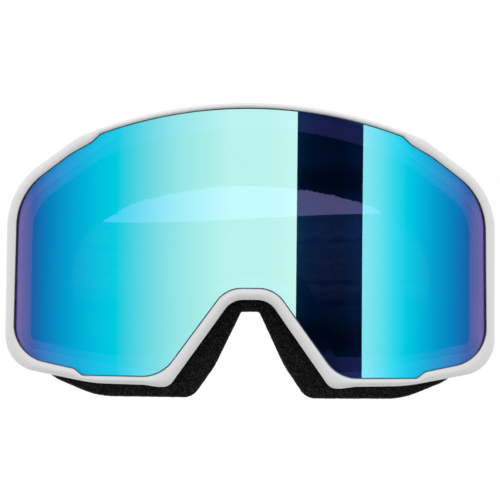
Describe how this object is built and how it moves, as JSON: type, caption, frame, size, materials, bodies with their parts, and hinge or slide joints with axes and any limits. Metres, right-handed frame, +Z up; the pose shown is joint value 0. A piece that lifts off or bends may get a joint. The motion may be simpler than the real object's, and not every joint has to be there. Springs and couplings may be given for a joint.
{
  "type": "ski goggles",
  "caption": "Ski goggles with a curved mirrored double lens in a white rim, black layered face foam, hinged strap arms and an adjustable elastic strap.",
  "frame": {"origin": "on the face curve at the nose-bridge line: the middle of the foam's rear face, at eye height", "axes": "+X to the wearer's left, +Y from the lens towards the face and the back of the head, +Z up; the lens faces -Y"},
  "size_m": [0.1796, 0.2452, 0.1082],
  "materials": {
    "rim": "moulded, satin white",
    "face_frame": "flexible moulded, matte",
    "steel": "brushed",
    "outer_lens": "mirror-coated polycarbonate",
    "gasket": "closed-cell foam seal",
    "inner_lens": "clear anti-fog film",
    "studs": "moulded",
    "foam_firm": "firm open foam",
    "foam_soft": "soft open foam",
    "fleece": "brushed fleece",
    "vent_foam": "coarse open foam",
    "arm": "moulded, fine texture",
    "strap": "woven elastic",
    "adjuster": "moulded",
    "silicone": "silicone, satin"
  },
  "bodies": {
    "frame": {"front_frame": "rim", "face_frame": "face_frame", "frame_pins": "steel", "foam_base": "foam_firm", "foam_middle": "foam_soft", "foam_fleece": "fleece", "vent_foam_top": "vent_foam", "vent_foam_left": "vent_foam", "vent_foam_right": "vent_foam", "hinge_pin_left": "steel", "hinge_pin_right": "steel", "strap_band": "strap", "grip_beads": "silicone"},
    "lens_unit": {"outer_lens": "outer_lens", "lens_gasket": "gasket", "inner_lens": "inner_lens", "lens_studs": "studs"},
    "arm_left": {"outrigger_left": "arm", "strap_loop_left": "strap"},
    "arm_right": {"outrigger_right": "arm", "strap_loop_right": "strap"},
    "slider_left": {"adjuster_left": "adjuster", "strap_fold_left": "strap"},
    "slider_right": {"adjuster_right": "adjuster", "strap_fold_right": "strap"}
  },
  "joints": [
    {"name": "lens_release", "type": "slide", "parent": "frame", "child": "lens_unit", "axis": [0, -1, 0], "range_m": [0, 0.03]},
    {"name": "arm_hinge_left", "type": "hinge", "parent": "frame", "child": "arm_left", "pos_m": [0.0828, 0.0135, -0.0045], "axis": [0, 0, -1], "range_deg": [-6, 12]},
    {"name": "arm_hinge_right", "type": "hinge", "parent": "frame", "child": "arm_right", "pos_m": [-0.0828, 0.0135, -0.0045], "axis": [0, 0, 1], "range_deg": [-6, 12]},
    {"name": "adjuster_slide_left", "type": "slide", "parent": "frame", "child": "slider_left", "axis": [0, 1, 0], "range_m": [-0.012, 0.022]},
    {"name": "adjuster_slide_right", "type": "slide", "parent": "frame", "child": "slider_right", "axis": [0, 1, 0], "range_m": [-0.012, 0.022]}
  ]
}
